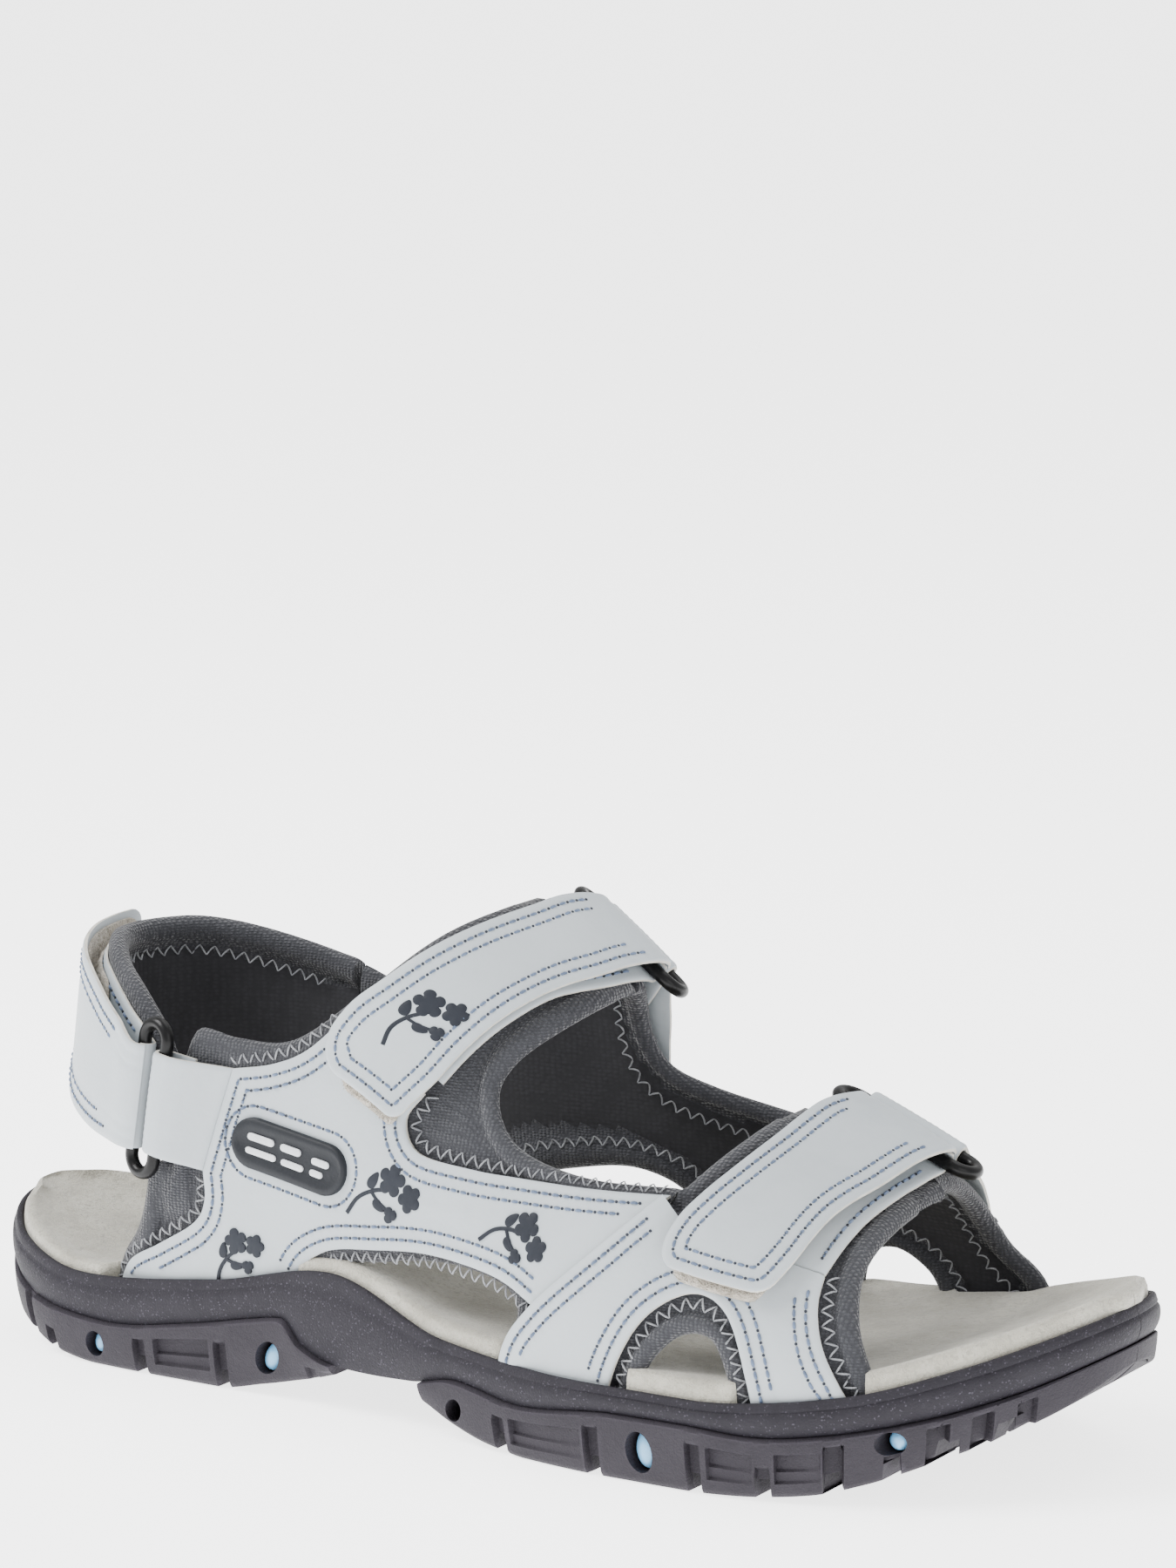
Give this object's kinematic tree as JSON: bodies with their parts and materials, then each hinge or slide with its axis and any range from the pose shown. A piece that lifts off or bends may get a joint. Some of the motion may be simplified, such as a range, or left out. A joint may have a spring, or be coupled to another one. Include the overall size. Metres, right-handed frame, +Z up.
{
  "type": "strappy sport sandal",
  "caption": "Right-foot sport sandal: treaded sole, suede footbed, padded open upper and hook-and-loop straps over forefoot, instep and heel.",
  "frame": {"origin": "middle of the overall box in plan, on the ground under the tread", "axes": "+X from heel to toe, +Y towards the other foot (medial side), +Z up"},
  "size_m": [0.2578, 0.0925, 0.1037],
  "materials": {
    "tread_rubber": "moulded, fine grain",
    "midsole_foam": "moulded foam, fine sparkle",
    "pod_plastic": "translucent gel",
    "steel": "plain",
    "board": "fibre board",
    "footbed_foam": "foam",
    "suede": "brushed suede",
    "lining": "knit-faced foam",
    "overlay": "smooth coated leather",
    "badge_rubber": "satin",
    "ring_plastic": "gloss",
    "loop_tape": "loop pile",
    "hook_tape": "hooks"
  },
  "bodies": {
    "root": {"outsole_heel": "tread_rubber", "outsole_forefoot": "tread_rubber", "cushion_pods": "pod_plastic", "midsole": "midsole_foam", "shank": "steel", "insole_board": "board", "footbed": "footbed_foam", "footbed_cover": "suede", "lateral_quarter_lining": "lining", "lateral_vamp_lining": "lining", "medial_quarter_lining": "lining", "medial_vamp_lining": "lining", "heel_collar": "lining", "lateral_quarter": "overlay", "lateral_vamp": "overlay", "medial_quarter": "overlay", "medial_vamp": "overlay", "badge": "badge_rubber", "instep_strap_base": "overlay", "instep_ring_tab": "overlay", "instep_loop_patch": "loop_tape", "forefoot_strap_base": "overlay", "forefoot_ring_tab": "overlay", "forefoot_loop_patch": "loop_tape", "heel_strap_base": "overlay", "heel_ring_tab": "overlay", "heel_loop_patch": "loop_tape"},
    "instep_flap": {"instep_flap": "overlay", "instep_hook_patch": "hook_tape"},
    "instep_ring": {"instep_ring": "ring_plastic"},
    "forefoot_flap": {"forefoot_flap": "overlay", "forefoot_hook_patch": "hook_tape"},
    "forefoot_ring": {"forefoot_ring": "ring_plastic"},
    "heel_flap": {"heel_flap": "overlay", "heel_hook_patch": "hook_tape"},
    "heel_ring": {"heel_ring": "ring_plastic"}
  },
  "joints": [
    {"name": "instep_flap_lift", "type": "hinge", "parent": "root", "child": "instep_flap", "pos_m": [0.00952, 0.01544, 0.09332], "axis": [-0.7996, 0.0161, 0.6003], "range_deg": [0, 100]},
    {"name": "instep_ring_swivel", "type": "hinge", "parent": "root", "child": "instep_ring", "pos_m": [0.00821, 0.02225, 0.0914], "axis": [-0.7996, 0.0161, 0.6003], "range_deg": [-3, 3]},
    {"name": "forefoot_flap_lift", "type": "hinge", "parent": "root", "child": "forefoot_flap", "pos_m": [0.0752, 0.01258, 0.06123], "axis": [-0.9217, 0.0049, 0.3878], "range_deg": [0, 100]},
    {"name": "forefoot_ring_swivel", "type": "hinge", "parent": "root", "child": "forefoot_ring", "pos_m": [0.07502, 0.01976, 0.06071], "axis": [-0.9217, 0.0049, 0.3878], "range_deg": [-3, 3]},
    {"name": "heel_flap_lift", "type": "hinge", "parent": "root", "child": "heel_flap", "pos_m": [-0.08044, -0.03113, 0.05948], "axis": [0.1299, 0.0382, 0.9908], "range_deg": [0, 100]},
    {"name": "heel_ring_swivel", "type": "hinge", "parent": "root", "child": "heel_ring", "pos_m": [-0.07355, -0.03306, 0.05865], "axis": [0.1299, 0.0382, 0.9908], "range_deg": [-3, 3]}
  ]
}
